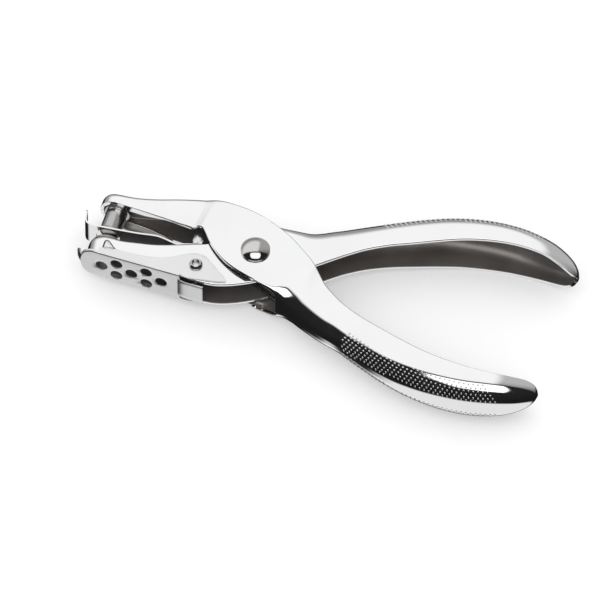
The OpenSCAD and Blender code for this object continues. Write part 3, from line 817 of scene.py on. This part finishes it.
# %% Peep-hole punches, one instance at each honeycomb point
def hole_tree():
    """A tree that sets a punch on every point of a seven-hole honeycomb."""
    tree = bpy.data.node_groups.new("peep_holes", "GeometryNodeTree")
    face = tree.interface
    pitch = face.new_socket("Pitch", in_out="INPUT", socket_type="NodeSocketFloat")
    radius = face.new_socket("Radius", in_out="INPUT", socket_type="NodeSocketFloat")
    metal = face.new_socket("Material", in_out="INPUT", socket_type="NodeSocketMaterial")
    face.new_socket("Geometry", in_out="OUTPUT", socket_type="NodeSocketGeometry")
    gin, gout = tree.nodes.new("NodeGroupInput"), tree.nodes.new("NodeGroupOutput")
    cylinder = tree.nodes.new("GeometryNodeMeshCylinder")
    cylinder.inputs["Vertices"].default_value = 40
    cylinder.inputs["Depth"].default_value = 4 * MM
    tree.links.new(gin.outputs["Radius"], cylinder.inputs["Radius"])
    joined = tree.nodes.new("GeometryNodeJoinGeometry")
    for column in range(5):
        for row in ([0.0] if column % 2 == 0 else [-0.5, 0.5]):
            place = tree.nodes.new("ShaderNodeVectorMath")
            place.operation = "SCALE"
            place.inputs[0].default_value = (column * math.sin(math.radians(60)), row, 0)
            tree.links.new(gin.outputs["Pitch"], place.inputs["Scale"])
            points = tree.nodes.new("GeometryNodePoints")
            points.inputs["Count"].default_value = 1
            tree.links.new(place.outputs["Vector"], points.inputs["Position"])
            tree.links.new(points.outputs[0], joined.inputs["Geometry"])
    stamp = tree.nodes.new("GeometryNodeInstanceOnPoints")
    tree.links.new(joined.outputs["Geometry"], stamp.inputs["Points"])
    tree.links.new(cylinder.outputs["Mesh"], stamp.inputs["Instance"])
    real = tree.nodes.new("GeometryNodeRealizeInstances")
    paint = tree.nodes.new("GeometryNodeSetMaterial")
    tree.links.new(stamp.outputs["Instances"], real.inputs["Geometry"])
    tree.links.new(real.outputs["Geometry"], paint.inputs["Geometry"])
    tree.links.new(gin.outputs["Material"], paint.inputs["Material"])
    tree.links.new(paint.outputs["Geometry"], gout.inputs["Geometry"])
    return tree, {"Pitch": pitch.identifier, "Radius": radius.identifier, "Material": metal.identifier}


tree, socket = hole_tree()
punches = new_object("peep_hole_punches", [(0, 0, 0)], [])
maker = punches.modifiers.new("holes", "NODES")
maker.node_group = tree
maker[socket["Pitch"]] = 5.1 * MM
maker[socket["Radius"]] = 1.75 * MM
maker[socket["Material"]] = SATIN
baked(punches)
FIRST_HOLE = 4.75
slope = Matrix.Rotation(DIE_TILT - FLOOR_SLOPE, 4, "Z")
start = Matrix.Translation(Vector((*turned((JAW, floor_y(JAW))), MID_Z)) * MM)
inwards = Matrix.Translation((FIRST_HOLE * MM, 0, 0)) @ Matrix.Rotation(math.radians(90), 4, "X")
punches.data.transform(start @ slope @ inwards)
cut_away(tray, punches)
print("tray with holes:", len(tray.data.polygons), "faces")

# %% [markdown]
# ### Tongue and thumb tab
# Behind the wide floor a narrow tongue reaches under the die lever's walls. In front a small cupped tab
# takes the thumb. Both are ribbons. The tab's middle is pushed forwards along x, which cups it.

# %% Tongue
tongue_line = []
for x in np.linspace(-20.4, -13.05, 8):
    tongue_line.append(turned((x, floor_y(x) + max(-0.5, 0.2 - 0.45 * (x + 20.4)))))
tongue = ribbon("tongue", tongue_line, [3.7] * len(tongue_line))
widened(tongue, 0.4, even=True)
baked(tongue)
print("tongue faces:", len(tongue.data.polygons))

# %% Thumb tab
TAB_CUP = 0.9
tab_keys = [(-48.3, -5.5, 2.0), (-48.5, -4.9, 2.0), (-48.75, -4.1, 2.0), (-48.9, -3.5, 1.95),
            (-49.0, -3.0, 1.75), (-49.05, -2.7, 1.4), (-49.1, -2.5, 0.8)]
tab_rows = smooth_rows(tab_keys, 3)
tab = ribbon("tab", [turned((r[0], r[1])) for r in tab_rows], [r[2] for r in tab_rows], across=12)
for vertex in tab.data.vertices:
    off_middle = min(1.0, abs(vertex.co.z / MM - MID_Z) / 2.4)
    height = turned((vertex.co.x / MM, vertex.co.y / MM), -DIE_TILT)[1] + 5.5
    rise = min(1.0, max(0.0, height / 1.5))
    vertex.co.x -= TAB_CUP * (1 - off_middle ** 2) * rise * MM
widened(tab, 0.4)
baked(tab)
print("tab faces:", len(tab.data.polygons))

# %% [markdown]
# ### Detent ears
# A small raised lug on each flange snaps over the jaw and holds the catcher shut. The shade of the gap round
# it is painted: a slightly larger near-black plate lies behind it. The pieces are then joined and their edges
# rounded.

# %% Ears, and the tray put together
lug = [(-42.3, -4.5), (-39.5, -4.5), (-40.1, -3.8), (-40.8, -2.7), (-41.2, -2.2), (-41.75, -2.1),
       (-42.1, -2.6)]
LUG_MIDDLE, LUG_FOOT = -41.1, -4.5
ears = []
for side in (-1, 1):
    # The second, larger plate is near-black painted shade for the gap round the lug.
    for grown, out, thickness, finish in ((1.0, 5.65, 0.7, SATIN), (1.45, 5.3, 0.3, PAINTED_SHADE)):
        corners = []
        for x, y in lug:
            wide = LUG_MIDDLE + (x - LUG_MIDDLE) * grown
            tall = LUG_FOOT + (y - LUG_FOOT) * (grown + 1) / 2
            corners.append((*turned((wide, tall)), MID_Z + side * out))
        ear = new_object("ear", corners, [tuple(range(len(corners)))])
        ear.data.materials.append(finish)
        widened(ear, thickness)
        edges = ear.modifiers.new("edges", "BEVEL")
        edges.width, edges.segments, edges.harden_normals = 0.12 * MM, 2, True
        ears.append(baked(ear))
for piece in (tray, tongue, tab):
    piece.data.materials.clear()
    piece.data.materials.append(SATIN)
joined_to(tray, [tongue, tab, *ears])
softened(tray, 0.09, 45)
baked(tray)
for polygon in tray.data.polygons:
    polygon.use_smooth = True
dress(tray, [SATIN, PAINTED_SHADE], "catcher", "catcher_steel", "chip_catcher")

# %% [markdown]
# ## The return spring
# A torsion spring sits round the pivot sleeve, with a leg in each handle. One line makes it: leg,
# close-wound coil, leg. The legs leave the coil as tangents, as drawn wire does.

# %% The wire's line
WIRE_R, COIL_R, COIL_HALF, TURNS = 0.55, 3.4, 3.15, 6
LEG_END = (21.5, 15.37)
LEG_STEPS, TURN_STEPS = 20, 40
far = math.hypot(*LEG_END)
bearing = math.atan2(LEG_END[1], LEG_END[0])
leave = bearing + math.acos(COIL_R / far)
leg = math.sqrt(far * far - COIL_R * COIL_R)
tangent = (math.sin(leave), -math.cos(leave))
foot = (COIL_R * math.cos(leave), COIL_R * math.sin(leave))
path = []
for i in range(LEG_STEPS):
    d = leg * (1 - i / LEG_STEPS)
    path.append((foot[0] + tangent[0] * d, foot[1] + tangent[1] * d, COIL_HALF))
sweep = TURNS * 2 * math.pi + (2 * math.pi - 2 * leave)
steps = TURN_STEPS * TURNS
for i in range(steps + 1):
    a = leave + sweep * i / steps
    path.append((COIL_R * math.cos(a), COIL_R * math.sin(a), COIL_HALF - 2 * COIL_HALF * i / steps))
for i in range(1, LEG_STEPS + 1):
    d = leg * i / LEG_STEPS
    path.append((foot[0] + tangent[0] * d, -(foot[1] + tangent[1] * d), -COIL_HALF))
print("spring wire:", round(sum(math.dist(a, b) for a, b in zip(path, path[1:])), 1), "mm long")

# %% [markdown]
# ### The wire
# A curve with a round bevel turns the line into wire, which is then kept as plain mesh. Its two legs sit in
# different levers.

# %% Wire and spring
wire = bpy.data.curves.new("return_spring_wire", "CURVE")
wire.dimensions = "3D"
spline = wire.splines.new("POLY")
spline.points.add(len(path) - 1)
for point, (x, y, z) in zip(spline.points, path):
    point.co = (x * MM, y * MM, (z + MID_Z) * MM, 1)
wire.bevel_depth = WIRE_R * MM
wire.bevel_resolution = 4
wire.use_fill_caps = True
wire_object = bpy.data.objects.new("wire", wire)
bpy.context.scene.collection.objects.link(wire_object)
bpy.context.view_layer.update()
seen = wire_object.evaluated_get(bpy.context.evaluated_depsgraph_get())
spring_mesh = bpy.data.meshes.new_from_object(seen)
bpy.data.objects.remove(wire_object)
spring = bpy.data.objects.new("return_spring_wound", spring_mesh)
bpy.context.scene.collection.objects.link(spring)
tidy_mesh(spring)
spring.data.materials.clear()
spring.data.materials.append(WIRE)
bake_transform(spring)
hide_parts("return_spring")
print("spring faces:", len(spring.data.polygons))

# %% [markdown]
# ## The knurl
# The grips are embossed with a field of small raised diamonds, so that the tool doesn't slip in the hand.
# A bump map would do from afar, but the field shows against the dark reflections and along the outline, so
# each diamond is real. A geometry-nodes tree sets one low stud on every point of a lattice on the web.

# %% Lattice points on the handle's outside
EDGE_MARGIN = 1.4
FACING = (0.10, 0.88)
GRIP_TOP, PROUD = 30.77, 0.2


def grip_surface(flip):
    """Points and normals on a grip's web and shoulders, as grids along and around the section."""
    rows = smooth_rows([(*row, 0, 0) for row in GRIP[2:12]], 10)
    grid = []
    for row in rows:
        near = half_section(row)
        outer = near[WEB + SHOULDER + WALL:]
        ring = outer + [(x, y, -z) for x, y, z in reversed(outer[:-1])]
        grid.append([(x, y * flip, z) for x, y, z in ring])
    return np.array(grid)


def lattice(flip, along=1.36, across=2.0, start=31.5, end=79.5):
    """A staggered lattice, laid out by arc length, with the surface normal at each point."""
    grid = grip_surface(flip)
    spine = grid[:, grid.shape[1] // 2]
    walk = np.concatenate([[0], np.cumsum(np.linalg.norm(np.diff(spine, axis=0), axis=1))])
    points, normals = [], []
    for n in range(int(walk[-1] / (along / 2))):
        at = n * along / 2
        i = min(np.searchsorted(walk, at, side="right") - 1, len(grid) - 2)
        t = (at - walk[i]) / (walk[i + 1] - walk[i])
        ring = grid[i] * (1 - t) + grid[i + 1] * t
        nxt = grid[min(i + 1, len(grid) - 1)]
        prv = grid[max(i - 1, 0)]
        x_mid = ring[len(ring) // 2][0]
        if not start < x_mid < end:
            continue
        arc = np.concatenate([[0], np.cumsum(np.linalg.norm(np.diff(ring, axis=0), axis=1))])
        half = arc[-1] / 2
        room = half - EDGE_MARGIN
        room *= min(1.0, 0.55 + (x_mid - start) / 6, 0.35 + (end - x_mid) / 8)
        shift = 0.5 * across if n % 2 else 0.0
        m = int(room / across) + 1
        for k in range(-m, m + 1):
            d = k * across + shift
            if abs(d) > room:
                continue
            j = min(np.searchsorted(arc, half + d, side="right") - 1, len(ring) - 2)
            u = (half + d - arc[j]) / (arc[j + 1] - arc[j])
            p = ring[j] * (1 - u) + ring[j + 1] * u
            side = ring[j + 1] - ring[j]
            fore = nxt[j] - prv[j]
            normal = np.cross(side, fore)
            normal /= np.linalg.norm(normal)
            if normal[1] * flip < 0 and abs(normal[1]) > 0.1:
                normal = -normal
            elif abs(normal[1]) <= 0.1 and normal[2] * p[2] < 0:
                normal = -normal
            if not FACING[0] < abs(normal[2]) < FACING[1]:
                continue
            sink = max(0.0, abs(p[1]) + PROUD - GRIP_TOP)
            points.append(tuple(p - normal * sink + np.array([0, 0, MID_Z])))
            normals.append(tuple(normal))
    return points, normals


print("lattice points on one grip:", len(lattice(1)[0]))


# %% [markdown]
# ### The studs
# A node tree sets a flat ball with eight sides on each point and turns it to the surface's own direction,
# which is stored with the point. Both grips use the same tree. Only their lattices are mirrored.

# %% One stud for each lattice point
def stud_tree():
    """A tree that sets a low stud on every point, turned to the direction stored with it."""
    tree = bpy.data.node_groups.new("knurl_studs", "GeometryNodeTree")
    face = tree.interface
    face.new_socket("Points", in_out="INPUT", socket_type="NodeSocketGeometry")
    width = face.new_socket("Width", in_out="INPUT", socket_type="NodeSocketFloat")
    height = face.new_socket("Height", in_out="INPUT", socket_type="NodeSocketFloat")
    metal = face.new_socket("Material", in_out="INPUT", socket_type="NodeSocketMaterial")
    face.new_socket("Geometry", in_out="OUTPUT", socket_type="NodeSocketGeometry")
    gin, gout = tree.nodes.new("NodeGroupInput"), tree.nodes.new("NodeGroupOutput")
    ball = tree.nodes.new("GeometryNodeMeshUVSphere")
    ball.inputs["Segments"].default_value = 8
    ball.inputs["Rings"].default_value = 5
    ball.inputs["Radius"].default_value = 1.0
    flat = tree.nodes.new("ShaderNodeCombineXYZ")
    for name in ("X", "Y"):
        tree.links.new(gin.outputs["Width"], flat.inputs[name])
    tree.links.new(gin.outputs["Height"], flat.inputs["Z"])
    normal = tree.nodes.new("GeometryNodeInputNamedAttribute")
    normal.data_type = "FLOAT_VECTOR"
    normal.inputs["Name"].default_value = "stud_normal"
    align = tree.nodes.new("FunctionNodeAlignRotationToVector")
    align.axis = "Z"
    tree.links.new(normal.outputs["Attribute"], align.inputs["Vector"])
    stamp = tree.nodes.new("GeometryNodeInstanceOnPoints")
    tree.links.new(gin.outputs["Points"], stamp.inputs["Points"])
    tree.links.new(ball.outputs["Mesh"], stamp.inputs["Instance"])
    tree.links.new(align.outputs["Rotation"], stamp.inputs["Rotation"])
    tree.links.new(flat.outputs["Vector"], stamp.inputs["Scale"])
    real = tree.nodes.new("GeometryNodeRealizeInstances")
    smooth = tree.nodes.new("GeometryNodeSetShadeSmooth")
    paint = tree.nodes.new("GeometryNodeSetMaterial")
    tree.links.new(stamp.outputs["Instances"], real.inputs["Geometry"])
    tree.links.new(real.outputs["Geometry"], smooth.inputs["Geometry"])
    tree.links.new(smooth.outputs["Geometry"], paint.inputs["Geometry"])
    tree.links.new(gin.outputs["Material"], paint.inputs["Material"])
    tree.links.new(paint.outputs["Geometry"], gout.inputs["Geometry"])
    return tree, {"Width": width.identifier, "Height": height.identifier, "Material": metal.identifier}


studs, socket = stud_tree()
for name, flip, body in (("upper_grip_knurl", 1, "die_side"), ("lower_grip_knurl", -1, "punch_side")):
    points, normals = lattice(flip)
    knurl = new_object(name, points, [])
    attribute = knurl.data.attributes.new("stud_normal", "FLOAT_VECTOR", "POINT")
    attribute.data.foreach_set("vector", np.array(normals, np.float32).ravel())
    maker = knurl.modifiers.new("studs", "NODES")
    maker.node_group = studs
    maker[socket["Width"]] = 0.30 * MM
    maker[socket["Height"]] = 0.18 * MM
    maker[socket["Material"]] = NICKEL
    baked(knurl)
    dress(knurl, NICKEL, body, "nickel_steel")
    print(name, len(points), "studs")

# %% [markdown]
# ## Parts that keep their CAD shape
# The sleeve, the washers and the small rivets are hidden or tiny, and their CAD shapes are right.
# They only need a finish.

# %% Finish the CAD nodes that stay
KEPT = {"pivot_sleeve": TURNED, "front_pivot_washer": TURNED, "rear_pivot_washer": TURNED,
        "stripper_rivets": RIVET}
for node, material in KEPT.items():
    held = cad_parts[node]
    held.data.materials.clear()
    held.data.materials.append(material)
print("kept as they are:", list(KEPT))

# %% [markdown]
# ## Table and light
# Bright metal shows what is around it. A white tent above and behind makes the flat walls white, a dark
# room in front draws the black lines on every rounded shoulder, and a pale floor brightens the undersides.
# The tent is painted on the world by direction, with soft borders, and one small window is in front.
# The table comes first. It glows a little, so that the shadow on it is soft, and mirrors don't see it.

# %% Floor
TABLE, BELOW = 4000, -0.02
corners = [(x * TABLE, y * TABLE, BELOW) for x, y in ((-1, -1), (1, -1), (1, 1), (-1, 1))]
floor = new_object("table_top", corners, [(0, 1, 2, 3)])
paper = bpy.data.materials.new("pale_table")
tree, shader = nodes_of(paper)
shader.inputs["Base Color"].default_value = (0.72, 0.72, 0.72, 1)
shader.inputs["Roughness"].default_value = 0.9
shader.inputs["Specular IOR Level"].default_value = 0.0
shader.inputs["Emission Color"].default_value = (1, 1, 1, 1)
shader.inputs["Emission Strength"].default_value = 0.30
floor.data.materials.append(paper)
floor.visible_glossy = False
print("table:", 2 * TABLE * MM, "m wide")

# %% [markdown]
# ### The light tent
# Lamps would put hard dots into the metal, and a picture of a room would show. Patches of plain grey, each
# a cap of the sky with a soft border, are laid over one another instead. Only reflections see the tent. All
# other rays see an even white room.

# %% World
LOOK = math.radians(16.5)
BACK = Vector((-math.sin(LOOK), math.cos(LOOK), 0))
SIDE = Vector((math.cos(LOOK), math.sin(LOOK), 0))


def toward(degrees, sideways=0.0):
    """A direction that many degrees from straight up, towards the viewer's side if positive."""
    a, b = math.radians(degrees), math.radians(sideways)
    return (Vector((0, 0, math.cos(a))) - BACK * math.sin(a)) * math.cos(b) + SIDE * math.sin(b)


world = bpy.data.worlds.new("light_tent")
bpy.context.scene.world = world
world.use_nodes = True
tree = world.node_tree
tree.nodes.clear()
out = tree.nodes.new("ShaderNodeOutputWorld")
coords = tree.nodes.new("ShaderNodeTexCoord")


def cap(axis, radius, soft):
    """1 inside a round patch of the sky, 0 outside, with a soft border. Sizes in degrees."""
    dot = tree.nodes.new("ShaderNodeVectorMath")
    dot.operation = "DOT_PRODUCT"
    tree.links.new(coords.outputs["Generated"], dot.inputs[0])
    dot.inputs[1].default_value = axis
    ramp = tree.nodes.new("ShaderNodeMapRange")
    ramp.interpolation_type = "SMOOTHSTEP"
    ramp.inputs["From Min"].default_value = math.cos(math.radians(radius + soft))
    ramp.inputs["From Max"].default_value = math.cos(math.radians(radius - soft))
    tree.links.new(dot.outputs["Value"], ramp.inputs["Value"])
    return ramp.outputs["Result"]


def mixed(factor, low, high):
    """low where factor is 0, high where it is 1; each is a grey level or an earlier result."""
    node = tree.nodes.new("ShaderNodeMix")
    node.data_type = "FLOAT"
    tree.links.new(factor, node.inputs["Factor"])
    for name, value in (("A", low), ("B", high)):
        if isinstance(value, (int, float)):
            node.inputs[name].default_value = value
        else:
            tree.links.new(value, node.inputs[name])
    return node.outputs["Result"]


DARK, DUSK, TENT, FLOOR_LIGHT, WINDOW = 0.012, 0.34, 1.02, 0.86, 1.6
behind = cap(toward(-86), 90, 4)
left = cap(toward(-36, -72), 90, 7)
high = cap(toward(22), 90, 16)
above = cap(toward(0), 106, 9)
right_side = mixed(cap(toward(-70), 74, 26), DARK, 0.5)
level = mixed(behind, DARK, mixed(above, DARK, mixed(left, right_side, mixed(high, DUSK, TENT))))
level = mixed(cap(toward(160), 34, 3), level, FLOOR_LIGHT)
pane = mixed(cap(toward(102), 90, 2), 0.0, cap(toward(31), 30, 3))
pane = mixed(cap(toward(-36), 90, 2), 0.0, pane)
level = mixed(pane, level, WINDOW)
studio = tree.nodes.new("ShaderNodeBackground")
tree.links.new(level, studio.inputs["Strength"])
studio.inputs["Color"].default_value = (1, 1, 1, 1)
room = tree.nodes.new("ShaderNodeBackground")
room.inputs["Color"].default_value = (1, 1, 1, 1)
room.inputs["Strength"].default_value = 1.12
rays = tree.nodes.new("ShaderNodeLightPath")
choose = tree.nodes.new("ShaderNodeMixShader")
tree.links.new(rays.outputs["Is Glossy Ray"], choose.inputs["Fac"])
tree.links.new(room.outputs["Background"], choose.inputs[1])
tree.links.new(studio.outputs["Background"], choose.inputs[2])
tree.links.new(choose.outputs["Shader"], out.inputs["Surface"])
print("nodes in the light tent:", len(tree.nodes))

# %% [markdown]
# ### The camera
# A long lens from far away keeps the two handles the same size, as in a catalogue picture. The camera looks
# down at 54 degrees, a little from the side, at a point near the pivot.

# %% Camera
camera_data = bpy.data.cameras.new("camera")
camera_data.lens = 1000
camera_data.sensor_width = 36
camera_data.clip_end = 50
DISTANCE = 4.67
camera = bpy.data.objects.new("camera", camera_data)
bpy.context.scene.collection.objects.link(camera)
elevation = math.radians(54)
aim = Vector((15.5, -8.3, MID_Z)) * MM
level_part = math.cos(elevation)
back = Vector((math.sin(LOOK) * level_part, -math.cos(LOOK) * level_part, math.sin(elevation)))
camera.location = aim + back * DISTANCE
camera.rotation_euler = back.to_track_quat("Z", "Y").to_euler()
bpy.context.scene.camera = camera
bpy.context.scene.view_settings.view_transform = "Standard"
print("camera at (m):", [round(c, 3) for c in camera.location])
